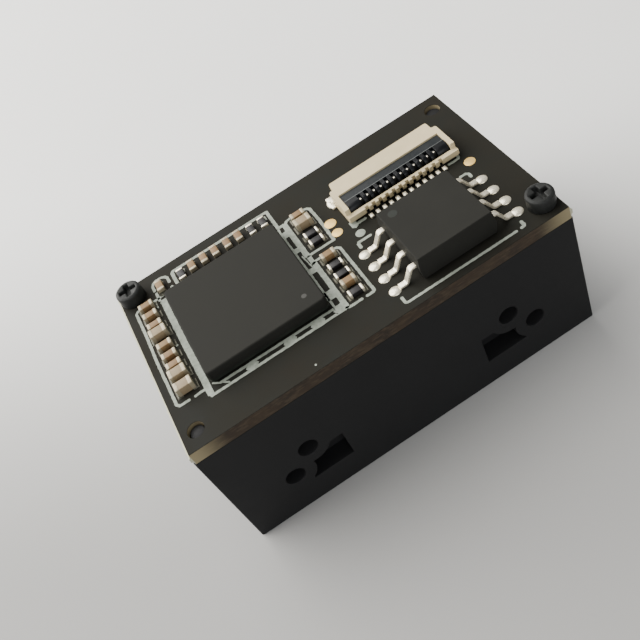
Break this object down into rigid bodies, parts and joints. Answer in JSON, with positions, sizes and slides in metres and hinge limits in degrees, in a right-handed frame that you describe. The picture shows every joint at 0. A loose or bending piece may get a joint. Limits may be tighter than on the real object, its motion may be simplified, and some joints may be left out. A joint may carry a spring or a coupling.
{
  "type": "optical scanner module",
  "caption": "Compact optical scanner module: moulded black housing with a front window, lens stack and emitter, closed by a circuit board that carries a flip-latch flat-cable connector.",
  "frame": {"origin": "centre of the bounding box in X and Y, at the rest plane under the housing's front rim", "axes": "+X along the long side, +Y away from the side with the mounting holes, +Z from the window face to the circuit board"},
  "size_m": [0.0258, 0.0152, 0.0123],
  "materials": {
    "housing_plastic": "fine spark-eroded matte",
    "window_glass": "polished clear",
    "gasket_rubber": "matte",
    "optics_plastic": "satin",
    "lens_glass": "polished, coated",
    "filter_glass": "polished, tinted",
    "sensor_silicon": "polished",
    "gold_plating": "bright",
    "led_ceramic": "matte",
    "solder_mask": "satin, dark olive black",
    "board_laminate": "cut glass-fibre laminate",
    "marking_ink": "printed, slightly ragged",
    "screw_steel": "black oxide",
    "chip_epoxy": "moulded epoxy",
    "connector_cream": "satin",
    "latch_plastic": "satin",
    "tinned_metal": "bright tin",
    "capacitor_ceramic": "fired ceramic",
    "resistor_glaze": "glazed"
  },
  "bodies": {
    "module": {"housing": "housing_plastic", "front_window": "window_glass", "window_gasket": "gasket_rubber", "lens_holder": "optics_plastic", "lens_barrel": "optics_plastic", "front_lens": "lens_glass", "rear_lens": "lens_glass", "ir_filter": "filter_glass", "image_sensor": "sensor_silicon", "emitter_tube": "optics_plastic", "emitter_lens": "lens_glass", "emitter_diode": "gold_plating", "illumination_led": "led_ceramic", "light_pipe": "window_glass", "main_board": "solder_mask", "board_screw_rear_left": "screw_steel", "board_screw_front_right": "screw_steel", "processor": "chip_epoxy", "flash_memory": "chip_epoxy", "ffc_housing": "connector_cream", "ffc_contact_01": "tinned_metal", "ffc_contact_02": "tinned_metal", "ffc_contact_03": "tinned_metal", "ffc_contact_04": "tinned_metal", "ffc_contact_05": "tinned_metal", "ffc_contact_06": "tinned_metal", "ffc_contact_07": "tinned_metal", "ffc_contact_08": "tinned_metal", "ffc_contact_09": "tinned_metal", "ffc_contact_10": "tinned_metal", "ffc_contact_11": "tinned_metal", "ffc_contact_12": "tinned_metal", "capacitor_column_1": "capacitor_ceramic", "capacitor_column_2": "capacitor_ceramic", "capacitor_column_3": "capacitor_ceramic", "capacitor_column_4": "capacitor_ceramic", "capacitor_column_5": "capacitor_ceramic", "capacitor_column_6": "capacitor_ceramic", "capacitor_column_large_1": "capacitor_ceramic", "capacitor_column_large_2": "capacitor_ceramic", "capacitor_column_large_3": "capacitor_ceramic", "capacitor_row_1": "capacitor_ceramic", "capacitor_row_2": "capacitor_ceramic", "capacitor_row_3": "capacitor_ceramic", "capacitor_row_4": "capacitor_ceramic", "capacitor_row_5": "capacitor_ceramic", "capacitor_row_6": "capacitor_ceramic", "capacitor_upper_1": "capacitor_ceramic", "capacitor_upper_large_1": "capacitor_ceramic", "capacitor_lower_1": "capacitor_ceramic", "capacitor_lower_2": "capacitor_ceramic", "resistor_row_1": "resistor_glaze", "resistor_row_2": "resistor_glaze", "resistor_row_3": "resistor_glaze", "resistor_upper_1": "resistor_glaze", "resistor_upper_2": "resistor_glaze", "resistor_lower_1": "resistor_glaze", "resistor_lower_2": "resistor_glaze", "resistor_lower_3": "resistor_glaze"},
    "latch": {"ffc_latch": "latch_plastic"}
  },
  "joints": [
    {"name": "ffc_latch_hinge", "type": "hinge", "parent": "module", "child": "latch", "pos_m": [0.00655, 0.00166, 0.01109], "axis": [1, 0, 0], "range_deg": [0, 90]}
  ]
}
